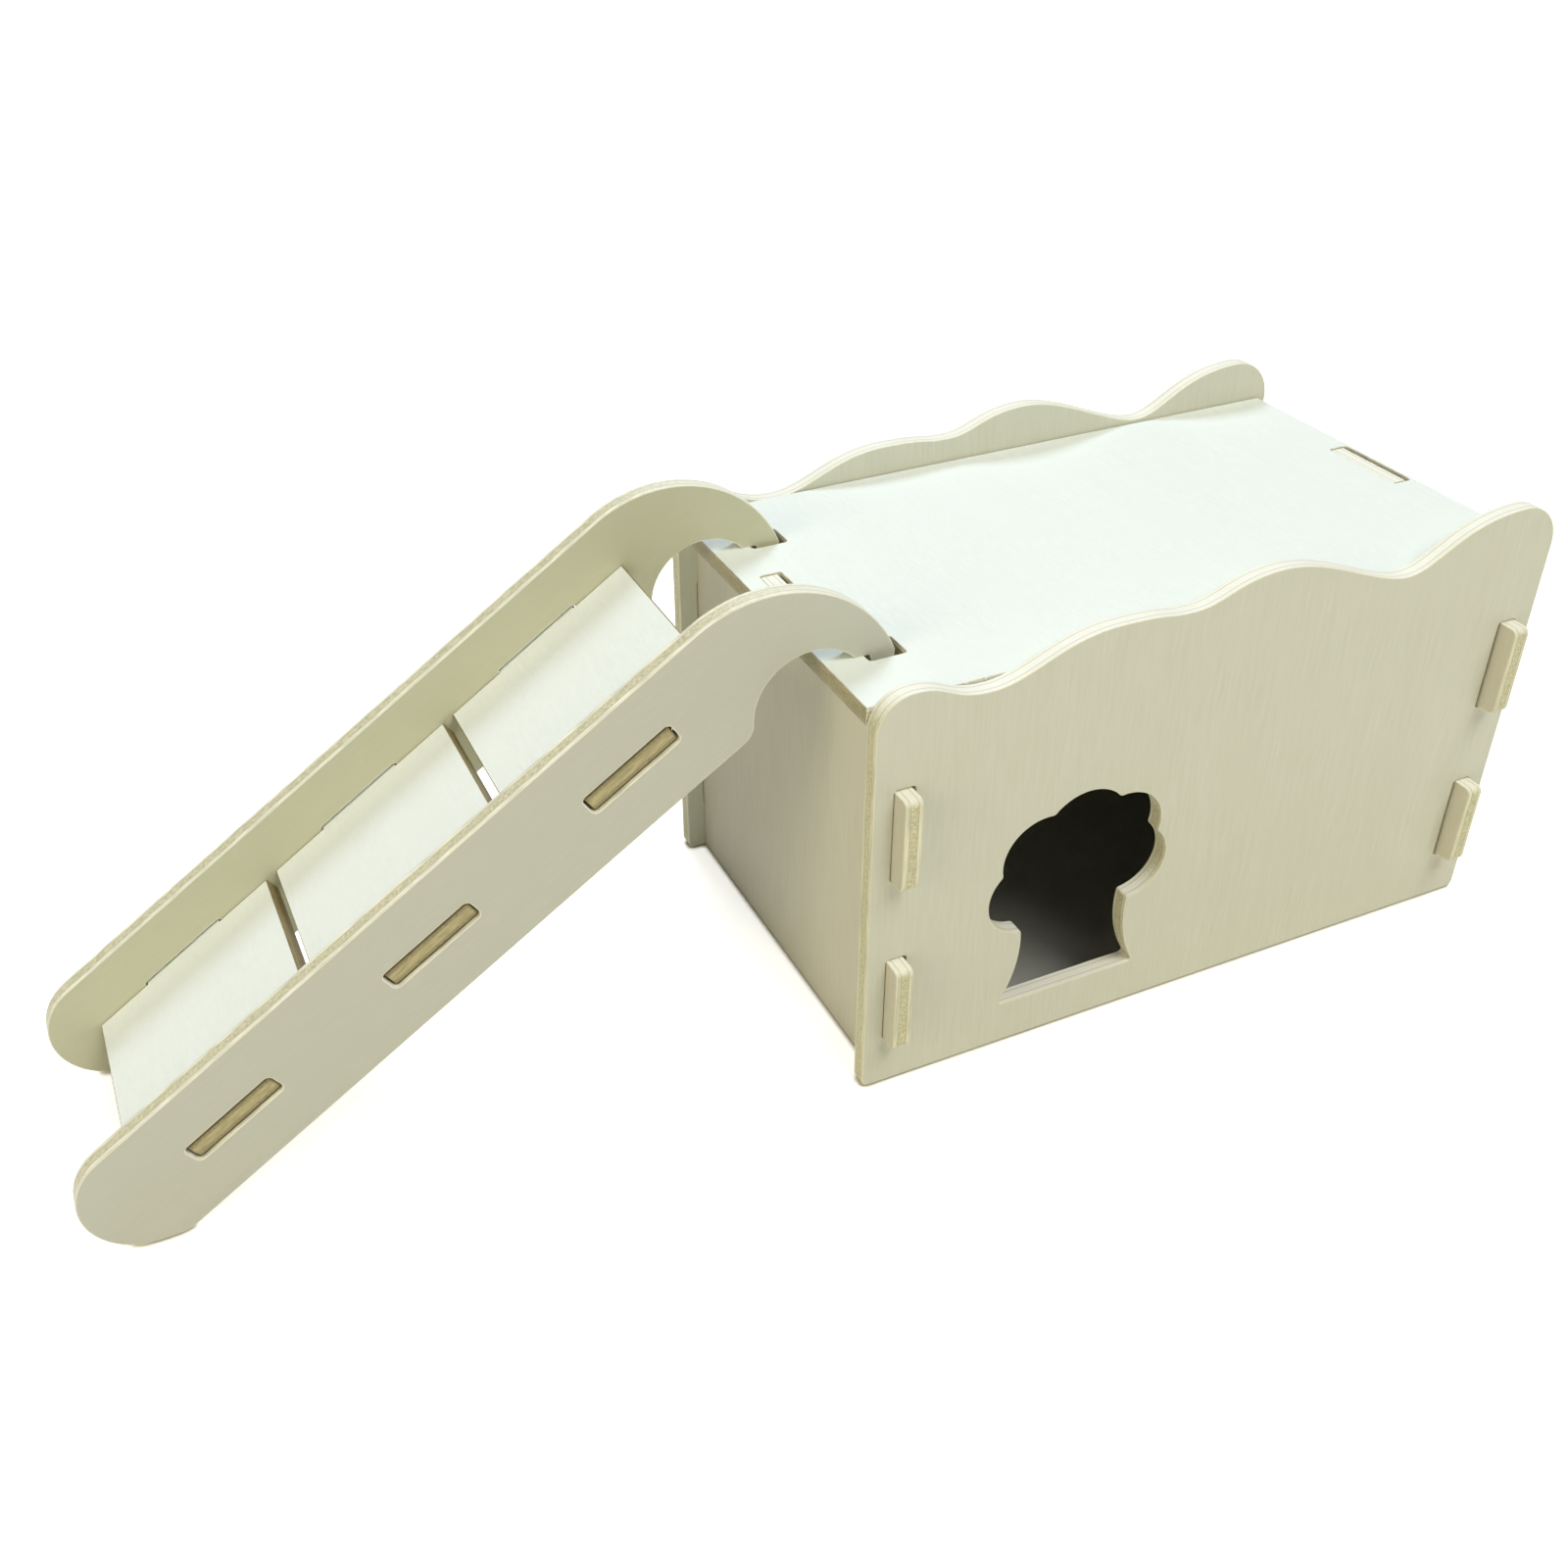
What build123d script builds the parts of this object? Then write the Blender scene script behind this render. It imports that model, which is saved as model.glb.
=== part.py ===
from build123d import *
import math
import os

# Wooden hamster house: four slotted plywood walls, a drop-in roof and a ladder that hooks over
# the roof's edge. Millimetres and degrees, +Z up. The model is drawn with X = 0 at the ladder end
# of the long walls, Y = 0 halfway between them and Z = 0 on the ground; the last step moves it
# along X, so that the origin is the middle of the whole object's footprint.

# --------------------------------------------------------------------------------------------
# Driving dimensions
# --------------------------------------------------------------------------------------------

# Every piece is cut from one sheet of birch plywood.
ply = 6.0

# The house
house_length = 250.0        # long walls, along X
house_width = 150.0         # over the outer faces of the long walls
roof_height = 142.0         # top face of the roof above the ground
end_wall_inset = 6.9        # from the long walls' ends to the end walls' outer faces
wall_foot_radius = 3.0      # lower corners of the long walls

# Wavy top edge of the long walls. The two end crests meet the round corners. Each mark between
# them is a crest or a valley: its place as a share of the length, its height above the roof, and
# how far it stays level to each side, as a share of the length.
left_corner_radius = 12.0
left_crest_rise = 5.3
left_crest_level = 0.045
wave_marks = [
    (0.150, -0.8, 0.055),
    (0.320, 10.2, 0.080),
    (0.425, 8.5, 0.045),
    (0.552, 15.4, 0.070),
    (0.757, 1.2, 0.050),
]
right_corner_radius = 16.0
right_crest_rise = 15.4
right_crest_level = 0.105

# Tabs of the end walls: middle height and length of the lower and the upper one
wall_tabs = [
    (35.2, 32.0),
    (98.9, 32.5),
]
wall_tab_reach = 6.7        # how far a tab stands out of the long wall
wall_tab_radius = 2.4       # its round corners
wall_slot_play = 0.7        # each side of a tab in its slot, when it is centred
wall_slot_end_play = 0.5    # the same at the slot's two ends
wall_slip = 0.45            # the end walls have been pushed this far outwards in their slots
slot_corner_radius = 1.2

# Roof
roof_side_gap = 0.3         # to each long wall
roof_end_strip = 1.6        # left between the far tab slot and the roof's end
roof_tab_length = 31.6
roof_tab_recess = 0.3       # of the tab's end below the roof's top
roof_slot_play = 0.8        # round the tab, across the plywood
roof_slot_end_play = 0.8
roof_slip = 0.6             # the roof has slid this far away from the ladder in its play

# Doorway: a tree-shaped opening with a scalloped crown and a level sill. The lobes of the crown
# are circles: distance to each side of the middle, height above the sill, radius.
door_middle = 76.5
door_sill = 17.0
door_sill_half = 27.0
door_waist_half = 20.0
door_waist_height = 24.0
crown_lobes = [
    (0.0, 62.0, 16.0),
    (14.5, 57.5, 15.0),
    (19.5, 43.5, 14.0),
]
door_corner_radius = 1.2

# Ladder: two side bars with hooks and round feet
ladder_pitch = 33.5         # above the ground
bar_width = 41.0
bar_spacing = 73.6          # between the bars' inner faces
hump_radius = 43.0
hump_middle = -16.4         # along X
hump_rise = 26.8            # of the hump's top above the roof
arch_radius = 19.0
arch_clearance = 5.8        # between the roof and the arch above it
heel_radius = 7.0           # where the arch runs into the bar's lower edge
heel_share = 0.95           # of the arch's upright side, the most that the heel's curve takes up

# Hook tips and the slots in the roof that take them
hook_slot_start = 0.3       # past the end wall's inner face
hook_slot_length = 12.6
hook_slot_width = 10.8
hook_slot_spacing = 81.2    # between the middles of the two slots
tip_gap = 1.9               # from the slot's start to the tip
tip_depth = 9.0             # below the roof's top
tip_taper = 1.0             # each side, over the depth
tip_radius = 1.6
shoulder_length = 3.1       # that rests on the roof beside the slot
shoulder_radius = 0.8

# Treads
tread_count = 3
tread_pitch = 76.6          # along the bars
first_tread = 32.8          # middle of the lowest tread from the middle of the round foot
tread_gap = 4.0
tread_tab_length = 31.8
tread_tab_recess = 1.0      # of the tab's end below the bar's outer face
tread_slot_play = 0.6       # above and below the tab when it is centred
tread_slot_end_play = 0.7
tread_slot_radius = 1.8     # in the slot's corners
tread_sag = 0.2             # the treads rest this much lower than the middle of their slots
tread_tab_radius = 0.8

# --------------------------------------------------------------------------------------------
# Places worked out from the dimensions
# --------------------------------------------------------------------------------------------

inner_half_width = house_width / 2 - ply
roof_underside = roof_height - ply
left_wall_x = end_wall_inset
right_wall_x = house_length - end_wall_inset - ply
hook_slot_x = left_wall_x + ply + hook_slot_start

along = Vector(math.cos(math.radians(ladder_pitch)), math.sin(math.radians(ladder_pitch)))
above = Vector(-along.Y, along.X)
hump_centre = Vector(hump_middle, roof_height + hump_rise - hump_radius)
bar_line = hump_centre + above * (hump_radius - bar_width / 2)
foot_centre = bar_line - along * ((bar_line.Y - bar_width / 2) / along.Y)
bar_inner_y = bar_spacing / 2

whole_middle_x = (foot_centre.X - bar_width / 2 + house_length) / 2


# --------------------------------------------------------------------------------------------
# Helpers
# --------------------------------------------------------------------------------------------


def upright_plate(outline, back_y):
    """A plate of plywood drawn in X and Z, reaching one thickness forward from back_y."""
    plane = Plane(origin=(0, back_y, 0), x_dir=(1, 0, 0), z_dir=(0, -1, 0))
    return extrude(plane * outline, amount=ply)


def cross_plate(outline, left_x):
    """A plate of plywood drawn in Y and Z, reaching one thickness along X from left_x."""
    plane = Plane(origin=(left_x, 0, 0), x_dir=(0, 1, 0), z_dir=(1, 0, 0))
    return extrude(plane * outline, amount=ply)


def rounded(outline, corners, radius):
    """The outline with the corners nearest to the given points rounded."""
    picked = [outline.vertices().sort_by_distance(Vector(*corner))[0] for corner in corners]
    return fillet(picked, radius)


def circle_point(centre, radius, height):
    """The point on the right-hand side of an upright circle at a height."""
    return Vector(centre.X + math.sqrt(radius**2 - (height - centre.Y) ** 2), height)


# --------------------------------------------------------------------------------------------
# House
# --------------------------------------------------------------------------------------------


def wavy_edge():
    """The top edge from the left round corner's start to the right one's end."""
    crests = [(left_corner_radius, left_crest_rise, left_crest_level)]
    crests += [(share * house_length, rise, level) for share, rise, level in wave_marks]
    crests += [(house_length - right_corner_radius, right_crest_rise, right_crest_level)]
    edge = Curve()
    for (x0, rise0, level0), (x1, rise1, level1) in zip(crests[:-1], crests[1:]):
        z0 = roof_height + rise0
        z1 = roof_height + rise1
        edge += Bezier(
            (x0, z0),
            (x0 + level0 * house_length, z0),
            (x1 - level1 * house_length, z1),
            (x1, z1),
        )
    return edge


def long_wall_outline():
    """A long wall: level foot, upright ends, round top corners and the wavy top edge."""
    left_top = roof_height + left_crest_rise - left_corner_radius
    right_top = roof_height + right_crest_rise - right_corner_radius
    left_corner = CenterArc((left_corner_radius, left_top), left_corner_radius, 90, 90)
    right_centre = (house_length - right_corner_radius, right_top)
    right_corner = CenterArc(right_centre, right_corner_radius, 0, 90)
    sides = Polyline((0, left_top), (0, 0), (house_length, 0), (house_length, right_top))
    outline = make_face([*left_corner.edges(), *wavy_edge().edges(), *right_corner.edges(), *sides.edges()])
    outline = rounded(outline, [(0, 0), (house_length, 0)], wall_foot_radius)
    for wall_x, inwards in ((left_wall_x, 1), (right_wall_x, -1)):
        slot_x = wall_x + ply / 2 + inwards * wall_slip
        for middle, length in wall_tabs:
            slot_size = (ply + 2 * wall_slot_play, length + 2 * wall_slot_end_play)
            outline -= Pos(slot_x, middle) * RectangleRounded(*slot_size, slot_corner_radius)
    return outline


def doorway():
    """The tree-shaped opening: scalloped crown on a trunk that is narrowest at its waist."""
    foot = Vector(door_sill_half, 0)
    waist = Vector(door_waist_half, door_waist_height)
    shoulder = foot + Vector(0, 2 * door_waist_height)
    right_side = [foot, waist, shoulder]
    left_side = [Vector(-point.X, point.Y) for point in reversed(right_side)]
    shape = make_face(
        [
            Line(left_side[-1], foot),
            ThreePointArc(*right_side),
            Line(shoulder, left_side[0]),
            ThreePointArc(*left_side),
        ]
    )
    for across, height, radius in crown_lobes:
        for side in (-1, 1):
            shape += Pos(side * across, height) * Circle(radius)
    shape = fillet(shape.vertices(), door_corner_radius)
    return Pos(door_middle, door_sill) * shape


def front_panel():
    return upright_plate(long_wall_outline() - doorway(), -inner_half_width)


def back_panel():
    return upright_plate(long_wall_outline(), house_width / 2)


def end_panel(left_x):
    """An end wall between the long walls, with tabs through them and one up into the roof."""
    outline = Pos(0, roof_underside / 2) * Rectangle(2 * inner_half_width, roof_underside)
    tab_tip = house_width / 2 + wall_tab_reach
    for middle, length in wall_tabs:
        outline += Pos(0, middle) * RectangleRounded(2 * tab_tip, length, wall_tab_radius)
    roof_tab_height = ply - roof_tab_recess
    outline += Pos(0, roof_underside + roof_tab_height / 2) * Rectangle(roof_tab_length, roof_tab_height)
    return cross_plate(outline, left_x)


def roof_panel():
    """The roof between the long walls, with slots for the end walls' tabs and the hooks."""
    roof_end = right_wall_x + ply + roof_slot_play + roof_slip + roof_end_strip
    width = 2 * (inner_half_width - roof_side_gap)
    outline = Pos(roof_end / 2, 0) * Rectangle(roof_end, width)
    tab_slot_size = (ply + 2 * roof_slot_play, roof_tab_length + 2 * roof_slot_end_play)
    for wall_x in (left_wall_x, right_wall_x):
        slot_x = wall_x + ply / 2 + roof_slip
        outline -= Pos(slot_x, 0) * RectangleRounded(*tab_slot_size, slot_corner_radius)
    hook_slot = RectangleRounded(hook_slot_length, hook_slot_width, slot_corner_radius)
    for side in (-1, 1):
        hook_slot_y = side * hook_slot_spacing / 2
        outline -= Pos(hook_slot_x + hook_slot_length / 2, hook_slot_y) * hook_slot
    return Pos(0, 0, roof_underside) * extrude(outline, amount=ply)


# --------------------------------------------------------------------------------------------
# Ladder
# --------------------------------------------------------------------------------------------


def tread_middle(number):
    """The middle of a tread's slot along the bars, counted from the lowest."""
    return foot_centre + along * (first_tread + number * tread_pitch)


def bar_outline():
    """A side bar: round foot, straight bar, hump over the roof's edge and a tip down its slot."""
    half = bar_width / 2
    foot_under = foot_centre - above * half
    foot_over = foot_centre + above * half
    foot_back = foot_centre - along * half
    hump_start = hump_centre + above * hump_radius
    hump_top = hump_centre + Vector(0, hump_radius)
    hump_end = circle_point(hump_centre, hump_radius, roof_height)

    shoulder_start = Vector(hook_slot_x - shoulder_length, roof_height)
    arch_drop = arch_radius - arch_clearance
    arch_half = math.sqrt(arch_radius**2 - arch_drop**2)
    arch_centre = shoulder_start - Vector(arch_half, arch_drop)
    arch_top = arch_centre + Vector(0, arch_radius)
    arch_side = arch_centre - Vector(arch_radius, 0)
    heel_run = (arch_side.X - foot_under.X) / along.X
    heel = foot_under + along * heel_run
    heel_room = (arch_side.Y - heel.Y) / math.tan(math.radians(90 - ladder_pitch) / 2)

    tip_left = hook_slot_x + tip_gap
    tip_end = roof_height - tip_depth
    tip_points = [
        hump_end,
        Vector(hump_end.X - tip_taper, tip_end),
        Vector(tip_left + tip_taper, tip_end),
        Vector(tip_left, roof_height),
        shoulder_start,
    ]
    edges = [
        ThreePointArc(foot_under, foot_back, foot_over),
        Line(foot_over, hump_start),
        ThreePointArc(hump_start, hump_top, hump_end),
        *Polyline(*tip_points).edges(),
        ThreePointArc(tip_points[-1], arch_top, arch_side),
        *Polyline(arch_side, heel, foot_under).edges(),
    ]
    outline = make_face(edges)
    outline = rounded(outline, [heel], min(heel_radius, heel_share * heel_room))
    outline = rounded(outline, tip_points[1:3], tip_radius)
    return rounded(outline, tip_points[3:], shoulder_radius)


def stringer(back_y):
    """A side bar with its slots for the treads' tabs."""
    outline = bar_outline()
    slot_length = tread_tab_length + 2 * tread_slot_end_play
    tread_slot = RectangleRounded(slot_length, ply + 2 * tread_slot_play, tread_slot_radius)
    for number in range(tread_count):
        middle = tread_middle(number)
        outline -= Pos(middle.X, middle.Y) * Rot(0, 0, ladder_pitch) * tread_slot
    return upright_plate(outline, back_y)


def tread(number):
    """A tread board between the side bars, with one tab through each."""
    middle = tread_middle(number) - above * tread_sag
    length = tread_pitch - tread_gap
    tab_reach = bar_spacing + 2 * (ply - tread_tab_recess)
    outline = Rectangle(length, bar_spacing)
    outline += RectangleRounded(tread_tab_length, tab_reach, tread_tab_radius)
    plane = Plane(
        origin=(middle.X, 0, middle.Y),
        x_dir=(along.X, 0, along.Y),
        z_dir=(above.X, 0, above.Y),
    )
    return extrude(plane * outline, amount=ply / 2, both=True)


# --------------------------------------------------------------------------------------------
# All pieces
# --------------------------------------------------------------------------------------------

pieces = {
    "front_panel": front_panel(),
    "back_panel": back_panel(),
    "left_end_panel": end_panel(left_wall_x),
    "right_end_panel": end_panel(right_wall_x),
    "roof_panel": roof_panel(),
    "ladder_near_stringer": stringer(-bar_inner_y),
    "ladder_far_stringer": stringer(bar_inner_y + ply),
}
for number in range(tread_count):
    pieces[f"ladder_tread_{number + 1}"] = tread(number)

os.makedirs("parts", exist_ok=True)
for name, piece in pieces.items():
    export_step(Pos(-whole_middle_x, 0, 0) * piece, f"parts/{name}.step")
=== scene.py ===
import math

import bmesh
import bpy
from mathutils import Euler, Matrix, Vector


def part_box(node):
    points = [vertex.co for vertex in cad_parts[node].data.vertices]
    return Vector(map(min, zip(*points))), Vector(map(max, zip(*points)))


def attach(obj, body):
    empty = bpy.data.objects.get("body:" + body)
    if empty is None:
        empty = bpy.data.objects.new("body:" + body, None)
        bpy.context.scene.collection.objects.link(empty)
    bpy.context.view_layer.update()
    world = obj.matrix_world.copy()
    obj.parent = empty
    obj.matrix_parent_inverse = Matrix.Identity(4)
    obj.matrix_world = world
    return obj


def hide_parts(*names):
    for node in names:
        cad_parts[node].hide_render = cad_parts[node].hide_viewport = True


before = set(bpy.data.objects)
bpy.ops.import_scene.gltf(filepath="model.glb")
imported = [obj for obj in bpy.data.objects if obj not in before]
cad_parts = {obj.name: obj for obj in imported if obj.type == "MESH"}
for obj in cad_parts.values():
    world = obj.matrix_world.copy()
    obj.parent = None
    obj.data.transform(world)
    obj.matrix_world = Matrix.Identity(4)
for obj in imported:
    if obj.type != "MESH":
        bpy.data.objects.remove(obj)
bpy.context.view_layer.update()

# ---------------------------------------------------------------------------------------------
# Sizes, in metres
# ---------------------------------------------------------------------------------------------

MM = 0.001

# Plywood: three layers, the middle one thicker and with its grain across the outer ones
PLY = 6.0 * MM
CORE = 2.8 * MM             # the middle layer
ARRIS = 0.45 * MM           # broken by sandpaper round every sawn edge
LADDER_PITCH = math.radians(33.5)

UP = Vector((0, 0, 1))
ALONG_HOUSE = Vector((1, 0, 0))
ACROSS_HOUSE = Vector((0, 1, 0))
ALONG_LADDER = Vector((math.cos(LADDER_PITCH), 0, math.sin(LADDER_PITCH)))
OFF_LADDER = Vector((-math.sin(LADDER_PITCH), 0, math.cos(LADDER_PITCH)))


# ---------------------------------------------------------------------------------------------
# Node helpers
# ---------------------------------------------------------------------------------------------


def srgb(code):
    """A hex colour as linear red, green, blue and alpha."""
    parts = [int(code[i:i + 2], 16) / 255 for i in (1, 3, 5)]
    return [p / 12.92 if p <= 0.04045 else ((p + 0.055) / 1.055) ** 2.4 for p in parts] + [1.0]


def add(tree, kind, settings=None, links=None):
    """A node, with its settings (a property's name or a socket's) and its links to sockets."""
    node = tree.nodes.new("ShaderNode" + kind)
    for key, value in (settings or {}).items():
        if isinstance(key, str) and hasattr(node, key):
            setattr(node, key, value)
        else:
            node.inputs[key].default_value = value
    for key, output in (links or {}).items():
        tree.links.new(output, node.inputs[key])
    return node


def new_material(name):
    material = bpy.data.materials.new(name)
    material.use_nodes = True
    material.node_tree.nodes.clear()
    return material, material.node_tree


# ---------------------------------------------------------------------------------------------
# Birch plywood. The nodes work in millimetres from each board's own middle.
# ---------------------------------------------------------------------------------------------

WOOD_ROUGHNESS = 0.62       # sanded, with no finish
WOOD_IOR = 1.5
SANDED_DEPTH = 0.05 * MM    # that sandpaper leaves between two fibres
SANDED_SHARE = 0.3          # of that depth that shows

PATCH = 25                  # across a patch in which the fibres stand out
PATCH_NOISE = (0.38, 0.62)  # noise where a patch begins and where it is full
PATCH_LEAST = 0.35          # of the fibres' strength, between the patches
BAND_LENGTH = 110           # of a growth band: a hand's length along the grain
BAND_WIDTH = 14
BAND_SHARE = 0.22           # of the growth bands in a face's figure, beside the fibres
FIGURE_REACH = 0.28         # of the figure to each side of its middle, from dark to light

END_GRAIN_NOISE = (0.34, 0.66)      # from the middle of a fibre's end to the wood between them
END_GRAIN_LEVEL = (0.74, 1.13)      # of a sawn edge's colour, at those two
GLUE = "#9A9678"            # resin glue, duller than the wood
GLUE_SHARE = 0.5            # that isn't soaked into the wood
GLUE_REACH = (0.22, 0.08)   # from the layers' border to where the glue fades and where it is full
SHADE_RIM_SHARE = 0.9             # of a painted shade rim's colour over the wood's
SHADE_RIM_BLUR = 0.2              # to each side of a rim's border
FACE_PLAY = 0.02            # within which a point counts as on the face

FOOT_SHADE = "#4E4A40"     # painted contact shade along the boards' lowest edges
FOOT_SHADE_HEIGHT = (1.1 * MM, 0.6 * MM)  # above the ground, where the painted shade begins and where it is darkest
FOOT_SHADE_SHARE = 0.45


def birch_plywood(name, face, face_dark, fibre, outer_edge, core_edge, rim, speckled):
    """Birch plywood, sawn, slotted and sanded, with no finish: matt, near even in colour, with
    short fine fibres on the faces and three layers showing on every sawn edge.

    fibre is the length and width of the fibres that show, drawn as coarse as they need to be to
    show at all. outer_edge and core_edge are what a saw leaves of a layer: its colour where it was
    cut along the grain, and the one across it. rim is the colour of the painted shade along the
    rims of a board's outer edges, and how wide, where the board says so. speckled is how strongly
    the ends of fibres dot an edge that doesn't cross the middle layer's grain, 0 to 1."""
    material, tree = new_material(name)
    sheet = add(tree, "Attribute", {"attribute_name": "sheet"}).outputs["Vector"]
    depth = add(tree, "SeparateXYZ", links={0: sheet}).outputs["Z"]
    depth = add(tree, "Math", {"operation": "ABSOLUTE"}, {0: depth}).outputs[0]
    in_core = add(
        tree, "Math", {"operation": "LESS_THAN", 1: CORE / MM / 2}, {0: depth}
    ).outputs[0]

    # Fibres lie along the sheet in the outer layers and across it in the middle one, right
    # through the wood, so a sawn edge shows dots where they end.
    length, width = (size / MM for size in fibre)
    outer_way = add(
        tree, "VectorMath", {"operation": "MULTIPLY", 1: (1 / length, 1 / width, 1 / width)},
        {0: sheet},
    ).outputs[0]
    core_way = add(
        tree, "VectorMath", {"operation": "MULTIPLY", 1: (1 / width, 1 / length, 1 / width)},
        {0: sheet},
    ).outputs[0]
    way = add(
        tree, "Mix", {"data_type": "VECTOR"}, {"Factor": in_core, 4: outer_way, 5: core_way}
    ).outputs[1]
    fibres = add(
        tree, "TexNoise", {"Scale": 1.0, "Detail": 4.0, "Roughness": 0.62}, {"Vector": way}
    ).outputs["Fac"]

    # They stand out in patches and are sanded away between them.
    patches = add(
        tree, "TexNoise", {"Scale": 1 / PATCH, "Detail": 2.0}, {"Vector": sheet}
    ).outputs["Fac"]
    begins, full = PATCH_NOISE
    patches = add(
        tree, "MapRange",
        {"From Min": begins, "From Max": full, "To Min": PATCH_LEAST, "To Max": 1.0},
        {"Value": patches},
    ).outputs[0]
    fleck = add(tree, "Math", {"operation": "SUBTRACT", 1: 0.5}, {0: fibres}).outputs[0]
    fleck = add(tree, "Math", {"operation": "MULTIPLY"}, {0: fleck, 1: patches}).outputs[0]

    # Growth bands, only just to be seen
    bands = add(
        tree, "VectorMath",
        {"operation": "MULTIPLY", 1: (1 / BAND_LENGTH, 1 / BAND_WIDTH, 1 / BAND_WIDTH)},
        {0: sheet},
    ).outputs[0]
    bands = add(
        tree, "TexNoise", {"Scale": 1.0, "Detail": 3.0, "Roughness": 0.5, "Distortion": 0.4},
        {"Vector": bands},
    ).outputs["Fac"]
    figure = add(
        tree, "Math", {"operation": "MULTIPLY_ADD", 1: BAND_SHARE}, {0: bands, 2: fleck}
    ).outputs[0]
    middle = BAND_SHARE / 2
    figure = add(
        tree, "MapRange", {"From Min": middle - FIGURE_REACH, "From Max": middle + FIGURE_REACH},
        {"Value": figure},
    ).outputs[0]
    face_colour = add(
        tree, "Mix", {"data_type": "RGBA", 6: srgb(face_dark), 7: srgb(face)}, {"Factor": figure}
    ).outputs[2]

    # Sawn edges: how far the saw crossed each layer's grain is kept with each face.
    cut = add(tree, "Attribute", {"attribute_name": "cut"}).outputs["Vector"]
    cut = add(tree, "SeparateXYZ", links={0: cut}).outputs
    layers = []
    for (along, across), crossed in ((outer_edge, cut["X"]), (core_edge, cut["Y"])):
        layers.append(add(
            tree, "Mix", {"data_type": "RGBA", 6: srgb(along), 7: srgb(across)},
            {"Factor": crossed},
        ).outputs[2])
    outer, core = layers
    edge = add(
        tree, "Mix", {"data_type": "RGBA"}, {"Factor": in_core, 6: outer, 7: core}
    ).outputs[2]

    # Painted shade: a dark rim on both sides of an outer edge
    rim_colour, rim_width = rim
    rim_start = (PLY / 2 - rim_width) / MM
    dark = add(
        tree, "MapRange",
        {"From Min": rim_start - SHADE_RIM_BLUR, "From Max": rim_start + SHADE_RIM_BLUR, "To Max": SHADE_RIM_SHARE},
        {"Value": depth},
    ).outputs[0]
    dark = add(tree, "Math", {"operation": "MULTIPLY"}, {0: dark, 1: cut["Z"]}).outputs[0]
    edge = add(
        tree, "Mix", {"data_type": "RGBA", 7: srgb(rim_colour)}, {"Factor": dark, 6: edge}
    ).outputs[2]

    # Ends of fibres dot the edge.
    lowest, highest = END_GRAIN_NOISE
    darkest, lightest = END_GRAIN_LEVEL
    speckle = add(
        tree, "MapRange",
        {"From Min": lowest, "From Max": highest, "To Min": darkest, "To Max": lightest},
        {"Value": fibres},
    ).outputs[0]
    dotted = add(
        tree, "Math", {"operation": "MAXIMUM", 1: speckled}, {0: cut["Y"]}
    ).outputs[0]
    speckle = add(tree, "Mix", {2: 1.0}, {"Factor": dotted, 3: speckle}).outputs[0]
    edge = add(
        tree, "VectorMath", {"operation": "SCALE"}, {0: edge, "Scale": speckle}
    ).outputs[0]

    # A thin line of glue beside the middle layer
    off_glue = add(
        tree, "Math", {"operation": "SUBTRACT", 1: CORE / MM / 2}, {0: depth}
    ).outputs[0]
    off_glue = add(tree, "Math", {"operation": "ABSOLUTE"}, {0: off_glue}).outputs[0]
    fades, full = GLUE_REACH
    glue = add(
        tree, "MapRange", {"From Min": fades, "From Max": full, "To Max": GLUE_SHARE},
        {"Value": off_glue},
    ).outputs[0]
    edge = add(
        tree, "Mix", {"data_type": "RGBA", 7: srgb(GLUE)}, {"Factor": glue, 6: edge}
    ).outputs[2]

    # The face begins where the arris ends.
    on_face = add(
        tree, "Math", {"operation": "GREATER_THAN", 1: PLY / MM / 2 - FACE_PLAY}, {0: depth}
    ).outputs[0]
    colour = add(
        tree, "Mix", {"data_type": "RGBA"}, {"Factor": on_face, 6: edge, 7: face_colour}
    ).outputs[2]

    # Painted contact shade: what stands on the ground is darker in its lowest millimetre.
    height = add(tree, "NewGeometry").outputs["Position"]
    height = add(tree, "SeparateXYZ", links={0: height}).outputs["Z"]
    begins, full = FOOT_SHADE_HEIGHT
    foot_shade = add(
        tree, "MapRange", {"From Min": begins, "From Max": full, "To Max": FOOT_SHADE_SHARE},
        {"Value": height},
    ).outputs[0]
    colour = add(
        tree, "Mix", {"data_type": "RGBA", 7: srgb(FOOT_SHADE)}, {"Factor": foot_shade, 6: colour}
    ).outputs[2]

    bump = add(
        tree, "Bump", {"Strength": SANDED_SHARE, "Distance": SANDED_DEPTH}, {"Height": fibres}
    ).outputs[0]
    wood = add(
        tree, "BsdfPrincipled", {"Roughness": WOOD_ROUGHNESS, "IOR": WOOD_IOR},
        {"Base Color": colour, "Normal": bump},
    ).outputs[0]
    add(tree, "OutputMaterial", links={"Surface": wood})
    return material


# Each kind of board has its own tone and its own sawn look: how long and wide the fibres are that
# show, what the saw left of the outer and of the middle layer, and the painted shade on some outer
# rims. The roof and treads are painted paler and cooler than the walls, as painted light from
# above; the end panels are warmer and a little darker, and the far bar is yellower.
WALL_FIBRE = (16 * MM, 0.9 * MM)
BAR_FIBRE = (9 * MM, 1.1 * MM)
PALE_FIBRE = (5 * MM, 0.9 * MM)
WALL_EDGES = ("#E1DEC2", "#EEEFE4"), ("#EEEEE2", "#D0CCA6")
BAR_EDGES = ("#EBEAD6", "#EEEFE4"), ("#EEEEE2", "#D2CEAE")
# The roof's middle layer, where sawn across the grain, is darker, partly as painted shade of the
# roof's ends
ROOF_EDGES = ("#DEDBC8", "#E4E2D2"), ("#D8D4BE", "#A59C73")
# Painted shade: the treads' sawn edges are dark brown for the shade in the slots round their tab
# ends and in the gaps between the treads
TREAD_EDGES = ("#978760", "#A0956C"), ("#BBB083", "#8F7F55")
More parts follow.
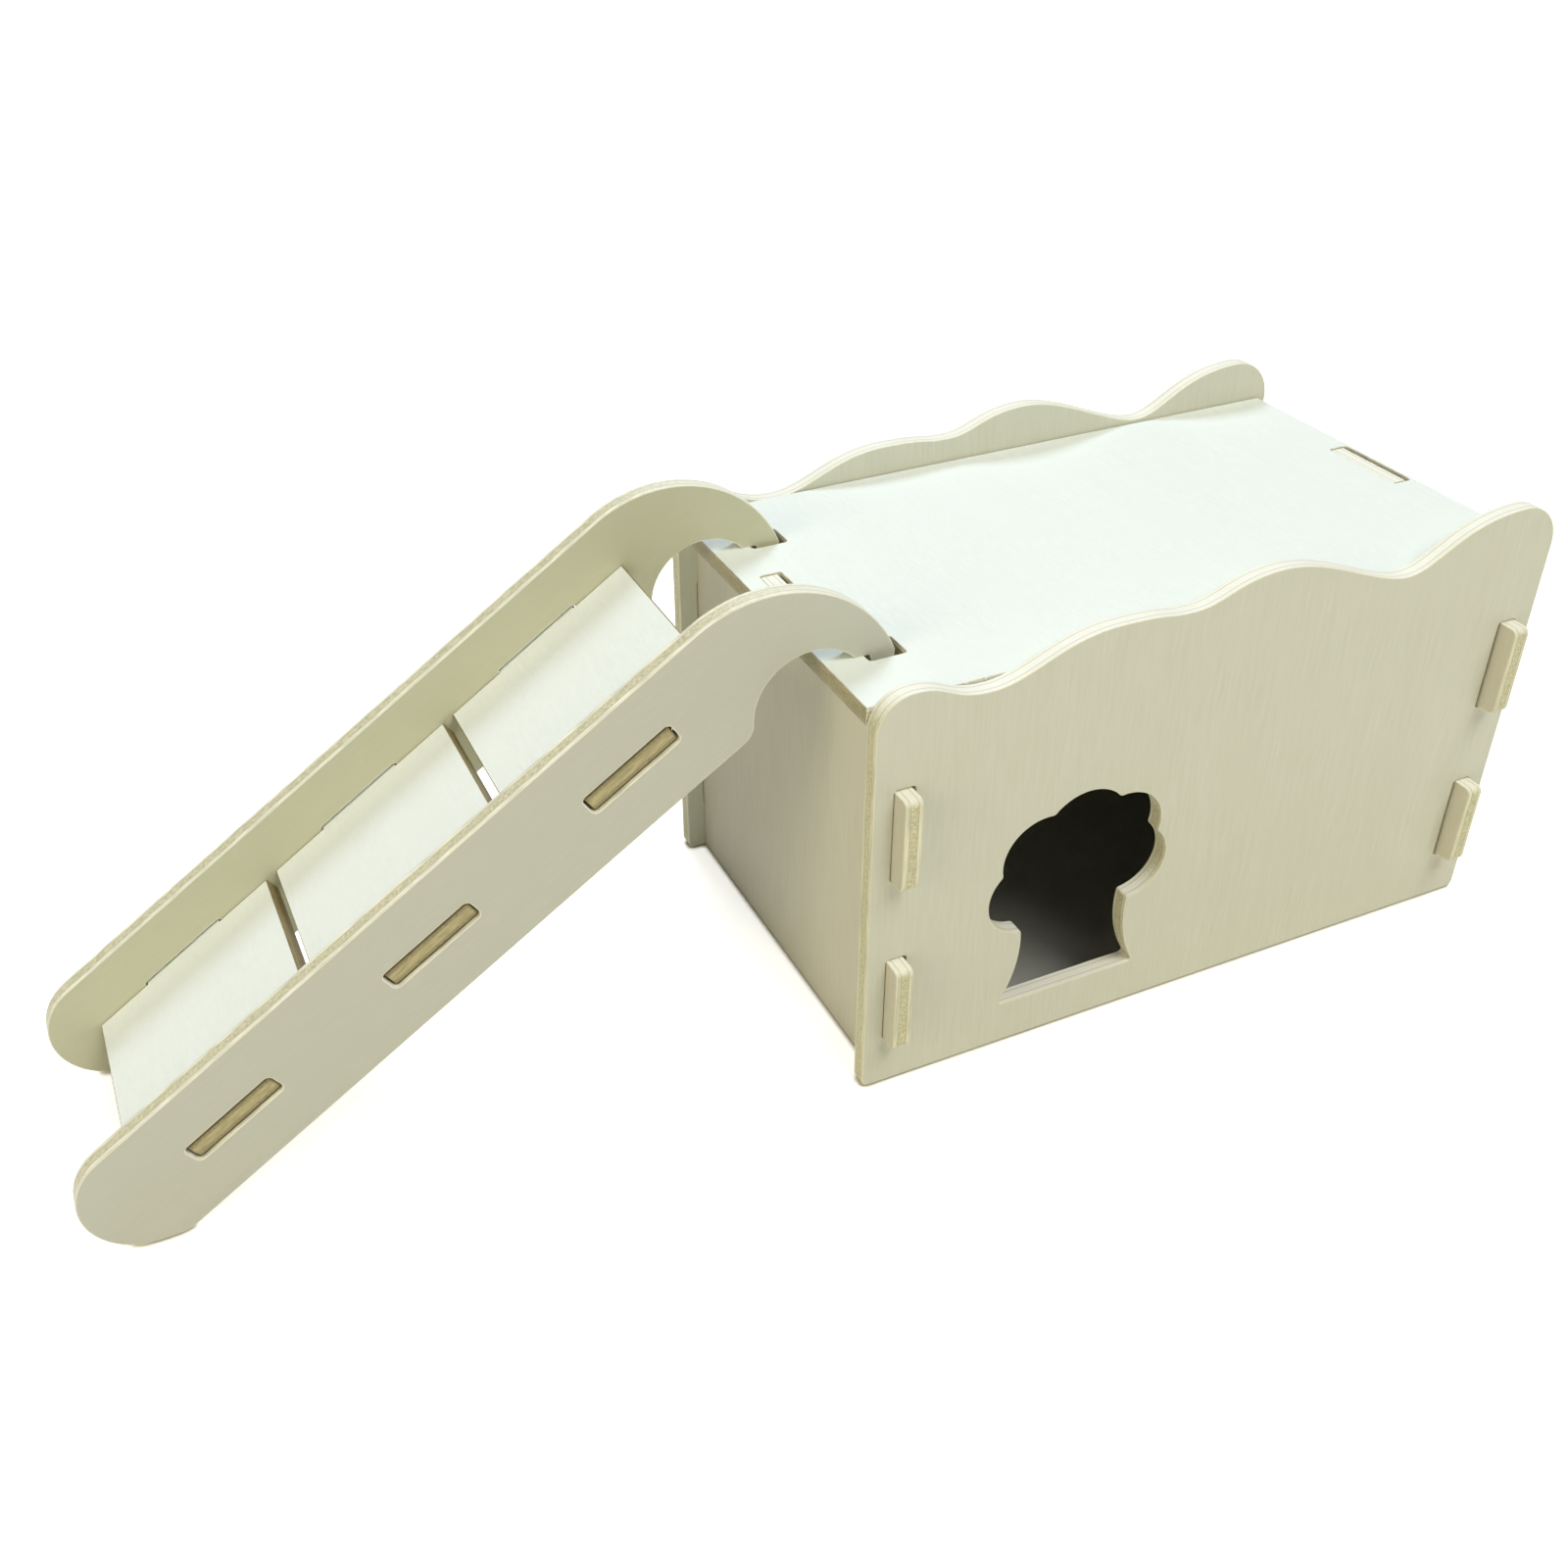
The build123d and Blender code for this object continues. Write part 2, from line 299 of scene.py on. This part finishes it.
# Painted shade: dark rims along the walls' feet, along the roof's two ends and round the treads'
# tab ends in their slots
WALL_SHADE_RIM = ("#4E483A", 0.6 * MM)
ROOF_SHADE_RIM = ("#A39B76", 1.7 * MM)
TREAD_SHADE_RIM = ("#554420", 0.6 * MM)
SAWN_CLEAN = 0.15           # strength of the dots on edges that don't cross the middle layer
SAWN_ROUGH = 1.0

wall_plywood = birch_plywood(
    "birch plywood, sanded", "#D7D8C9", "#CBCCB8", WALL_FIBRE, *WALL_EDGES, WALL_SHADE_RIM, SAWN_CLEAN
)
end_plywood = birch_plywood(
    "birch plywood, sanded, warmer", "#D3D0BE", "#C8C4AD", WALL_FIBRE, *WALL_EDGES, WALL_SHADE_RIM,
    SAWN_CLEAN,
)
near_bar_plywood = birch_plywood(
    "birch plywood, sanded finer", "#CBCCBE", "#C5C6B7", BAR_FIBRE, *BAR_EDGES, WALL_SHADE_RIM,
    SAWN_CLEAN,
)
far_bar_plywood = birch_plywood(
    "birch plywood, sanded finer, yellower", "#CBCBAF", "#C6C6A8", BAR_FIBRE, *BAR_EDGES,
    WALL_SHADE_RIM, SAWN_CLEAN,
)
# Painted light: the roof and the treads are the walls' cream wood, painted paler and cooler for
# the strong light from above
roof_plywood = birch_plywood(
    "birch plywood, painted palest for the light from above", "#EBF2EE", "#E1E8E2", PALE_FIBRE, *ROOF_EDGES, ROOF_SHADE_RIM,
    SAWN_ROUGH,
)
tread_plywood = birch_plywood(
    "birch plywood, painted pale for the light from above", "#EEF4F0", "#E5EBE5", PALE_FIBRE, *TREAD_EDGES, TREAD_SHADE_RIM,
    SAWN_ROUGH,
)


# ---------------------------------------------------------------------------------------------
# The ten boards
# ---------------------------------------------------------------------------------------------

SAME_POINT = 0.002 * MM     # apart, at most, for two of the CAD mesh's points to be one
FLAT_ANGLE = math.radians(0.6)      # between triangles that lie in one flat face
SHARP_ANGLE = math.radians(38)      # from which an edge keeps its crease
FACE_LEAST = 0.99           # of a normal along the sheet's own, on its two faces
CUT_POWER = 4               # how fast an edge changes its look as it turns away from the grain
NEXT_BOARD = Vector((260, 97, 0)) * MM      # so that no two boards show the same piece of sheet

boards = []


def cut_board(node, grain, through, wood, body, rimmed=()):
    """A board on its CAD node's shape: flat faces made whole, arrises broken, and kept with it
    each point's place in the sheet of plywood and how each face was cut, so that grain and layers
    follow the board. rimmed gives the ways that its outer edges face which get a painted shade
    rim."""
    low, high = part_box(node)
    middle = (low + high) / 2
    across = through.cross(grain)
    shape = bmesh.new()
    shape.from_mesh(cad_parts[node].data)
    bmesh.ops.remove_doubles(shape, verts=shape.verts, dist=SAME_POINT)
    bmesh.ops.dissolve_limit(
        shape, angle_limit=FLAT_ANGLE, verts=shape.verts, edges=shape.edges
    )

    def on_face(face):
        return abs(face.normal.dot(through)) > FACE_LEAST

    arrises = [
        edge for edge in shape.edges
        if len(edge.link_faces) == 2 and on_face(edge.link_faces[0]) != on_face(edge.link_faces[1])
    ]
    bmesh.ops.bevel(
        shape, geom=arrises, offset=ARRIS, offset_type="OFFSET", segments=2, profile=0.6,
        affect="EDGES", clamp_overlap=False,
    )
    bmesh.ops.triangulate(shape, faces=[face for face in shape.faces if len(face.verts) > 4])
    for face in shape.faces:
        face.smooth = True
    for edge in shape.edges:
        if len(edge.link_faces) == 2 and edge.calc_face_angle() > SHARP_ANGLE:
            edge.smooth = False
    mesh = bpy.data.meshes.new(node + "_board")
    shape.to_mesh(mesh)
    shape.free()

    # An outer edge with a painted shade rim lies within two arrises' width of the board's end.
    least = [max(vertex.co.dot(way) for vertex in mesh.vertices) - 2 * ARRIS for way in rimmed]

    def rim_share(face):
        shares = [
            face.normal.dot(way) for way, end in zip(rimmed, least) if face.center.dot(way) > end
        ]
        return max(shares + [0.0])

    start = NEXT_BOARD * len(boards)
    sheet = mesh.attributes.new("sheet", "FLOAT_VECTOR", "POINT")
    for vertex, spot in zip(mesh.vertices, sheet.data):
        off = vertex.co - middle
        spot.vector = (Vector((off.dot(grain), off.dot(across), off.dot(through))) + start) / MM
    cut = mesh.attributes.new("cut", "FLOAT_VECTOR", "FACE")
    for face, look in zip(mesh.polygons, cut.data):
        look.vector = (
            face.normal.dot(grain) ** CUT_POWER,
            face.normal.dot(across) ** CUT_POWER,
            rim_share(face),
        )

    mesh.materials.append(wood)
    board = bpy.data.objects.new(node + "_board", mesh)
    bpy.context.scene.collection.objects.link(board)
    weights = board.modifiers.new("flat faces", "WEIGHTED_NORMAL")
    weights.weight = 100
    weights.keep_sharp = True
    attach(board, body)
    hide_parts(node)
    boards.append(board)


for wall in ("front_panel", "back_panel"):
    cut_board(wall, UP, ACROSS_HOUSE, wall_plywood, "house", [-UP])
for wall in ("left_end_panel", "right_end_panel"):
    cut_board(wall, UP, ALONG_HOUSE, end_plywood, "house", [-UP])
cut_board(
    "roof_panel", ACROSS_HOUSE, UP, roof_plywood, "roof",
    [ALONG_HOUSE, -ALONG_HOUSE],
)
for side, wood in (("near", near_bar_plywood), ("far", far_bar_plywood)):
    cut_board(
        f"ladder_{side}_stringer", ALONG_LADDER, ACROSS_HOUSE, wood, "ladder"
    )
for number in (1, 2, 3):
    cut_board(
        f"ladder_tread_{number}", ACROSS_HOUSE, OFF_LADDER, tread_plywood, "ladder",
        [ACROSS_HOUSE, -ACROSS_HOUSE],
    )


# ---------------------------------------------------------------------------------------------
# White paper that the house stands on
# ---------------------------------------------------------------------------------------------

PAPER_SIDE = 12.0
PAPER_DROP = 0.05 * MM      # below the feet, so that no two faces share one plane
PAPER = "#F2F0E9"
PAPER_INDOORS_SHADE = "#A2A29E"   # painted shade: darker between the four walls, for the dark of the nest
GLOW_DISTANCE = (0.6, 2.5)  # from the origin, to where the glow is even and to where it is full
GLOW_LEVEL = (0.66, 1.0)    # at those two distances
CONTACT = 2.5 * MM          # from a board's foot, within which the paper is dark
CONTACT_OPEN = (0.5, 0.9)   # share of open sky at which the glow begins and at which it is full


def white_paper():
    """Matt white backdrop paper: blank white to the eye, with the object's shadow left on it.
    Under the roof it has no glow and is painted darker, as painted shade."""
    material, tree = new_material("white paper, matt")
    paper = add(tree, "BsdfDiffuse")
    glow = add(tree, "Emission", {"Color": srgb("#FFFFFF")})
    rays = add(tree, "LightPath").outputs
    strength = rays["Is Camera Ray"]
    for ray in ("Is Glossy Ray", "Is Transmission Ray"):
        strength = add(
            tree, "Math", {"operation": "MAXIMUM"}, {0: strength, 1: rays[ray]}
        ).outputs[0]

    # Outdoors is past a box the size of the room between the four walls.
    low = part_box("left_end_panel")[1]
    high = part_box("right_end_panel")[0]
    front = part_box("front_panel")[1].y
    middle = Vector(((low.x + high.x) / 2, 0, 0))
    place = add(tree, "NewGeometry").outputs["Position"]
    off = add(tree, "VectorMath", {"operation": "SUBTRACT", 1: middle}, {0: place}).outputs[0]
    off = add(tree, "VectorMath", {"operation": "ABSOLUTE"}, {0: off}).outputs[0]
    off = add(tree, "SeparateXYZ", links={0: off}).outputs
    beyond_x = add(
        tree, "Math", {"operation": "GREATER_THAN", 1: (high.x - low.x) / 2}, {0: off["X"]}
    ).outputs[0]
    beyond_y = add(
        tree, "Math", {"operation": "GREATER_THAN", 1: -front}, {0: off["Y"]}
    ).outputs[0]
    outdoors = add(
        tree, "Math", {"operation": "MAXIMUM"}, {0: beyond_x, 1: beyond_y}
    ).outputs[0]

    # Close to a board's foot the paper is dark.
    open_sky = add(
        tree, "AmbientOcclusion", {"samples": 8, "Distance": CONTACT}
    ).outputs["AO"]
    begins, full = CONTACT_OPEN
    open_sky = add(
        tree, "MapRange", {"From Min": begins, "From Max": full}, {"Value": open_sky}
    ).outputs[0]

    # Its glow adds up with the lamps' light near the house and stands alone far from it.
    away = add(tree, "VectorMath", {"operation": "LENGTH"}, {0: place}).outputs["Value"]
    near, far = GLOW_DISTANCE
    near_level, far_level = GLOW_LEVEL
    level = add(
        tree, "MapRange",
        {"From Min": near, "From Max": far, "To Min": near_level, "To Max": far_level},
        {"Value": away},
    ).outputs[0]

    for share in (outdoors, open_sky, level):
        strength = add(
            tree, "Math", {"operation": "MULTIPLY"}, {0: strength, 1: share}
        ).outputs[0]
    tree.links.new(strength, glow.inputs["Strength"])
    # Painted shade: the paper between the four walls is darker.
    white = add(
        tree, "Mix", {"data_type": "RGBA", 6: srgb(PAPER_INDOORS_SHADE), 7: srgb(PAPER)},
        {"Factor": outdoors},
    ).outputs[2]
    tree.links.new(white, paper.inputs["Color"])
    both = add(tree, "AddShader", links={0: paper.outputs[0], 1: glow.outputs[0]}).outputs[0]
    add(tree, "OutputMaterial", links={"Surface": both})
    return material


shape = bmesh.new()
bmesh.ops.create_grid(shape, x_segments=1, y_segments=1, size=PAPER_SIDE / 2)
mesh = bpy.data.meshes.new("paper")
shape.to_mesh(mesh)
shape.free()
mesh.materials.append(white_paper())
paper = bpy.data.objects.new("paper", mesh)
paper.location.z = -PAPER_DROP
bpy.context.scene.collection.objects.link(paper)


# ---------------------------------------------------------------------------------------------
# Light: a dim warm room with a white backdrop, a cool key light from above and behind, a broad
# softbox in front at the right, and a weaker warm one low at the left
# ---------------------------------------------------------------------------------------------

ROOM_LIGHT = 0.19
ROOM_COLOUR = "#FFF0D6"
BACKDROP = "#FFFFFF"
LIT_POINT = Vector((0, 0, 0.08))    # the middle of the object, which the lamps face

world = bpy.data.worlds.new("dim warm room")
bpy.context.scene.world = world
world.use_nodes = True
tree = world.node_tree
tree.nodes.clear()
rays = add(tree, "LightPath").outputs
seen = add(
    tree, "Math", {"operation": "MAXIMUM"},
    {0: rays["Is Camera Ray"], 1: rays["Is Transmission Ray"]},
).outputs[0]
room = add(
    tree, "Background", {"Color": srgb(ROOM_COLOUR), "Strength": ROOM_LIGHT}
).outputs[0]
backdrop = add(tree, "Background", {"Color": srgb(BACKDROP), "Strength": 1.0}).outputs[0]
shown = add(tree, "MixShader", links={0: seen, 1: room, 2: backdrop}).outputs[0]
add(tree, "OutputWorld", links={"Surface": shown})


def softbox(name, place, side, level, colour):
    """A square softbox that faces the house. level is the light that it gives a surface facing
    it at the house, where 1 shows a colour as it is written."""
    light = bpy.data.lights.new(name, "AREA")
    light.shape = "SQUARE"
    light.size = side
    light.color = srgb(colour)[:3]
    way = LIT_POINT - Vector(place)
    light.energy = level * math.pi**2 * way.length_squared
    lamp = bpy.data.objects.new(name, light)
    lamp.location = place
    lamp.rotation_euler = way.to_track_quat("-Z", "Y").to_euler()
    bpy.context.scene.collection.objects.link(lamp)


softbox("key light behind", (0.26, 1.70, 2.36), 0.95, 0.52, "#E1EEFF")
softbox("softbox in front, right", (0.72, -1.39, 2.64), 1.70, 0.66, "#FFFFF8")
softbox("softbox at the left, low", (-2.20, -0.70, 1.10), 1.20, 0.30, "#FFF4DC")


# ---------------------------------------------------------------------------------------------
# Camera: in front of the house's ladder end, looking down, and leaning by under a degree
# ---------------------------------------------------------------------------------------------

view = bpy.data.cameras.new("camera")
view.sensor_width = 36.0
view.lens = 37.741
view.shift_x = 0.0274
view.shift_y = 0.0085
view.clip_start = 0.01
view.clip_end = 50.0
camera = bpy.data.objects.new("camera", view)
camera.location = (-0.19724, -0.41086, 0.38528)
camera.rotation_euler = Euler([math.radians(a) for a in (55.018, 0.717, -24.439)])
bpy.context.scene.collection.objects.link(camera)
bpy.context.scene.camera = camera
bpy.context.scene.view_settings.view_transform = "Standard"


bpy.context.view_layer.update()
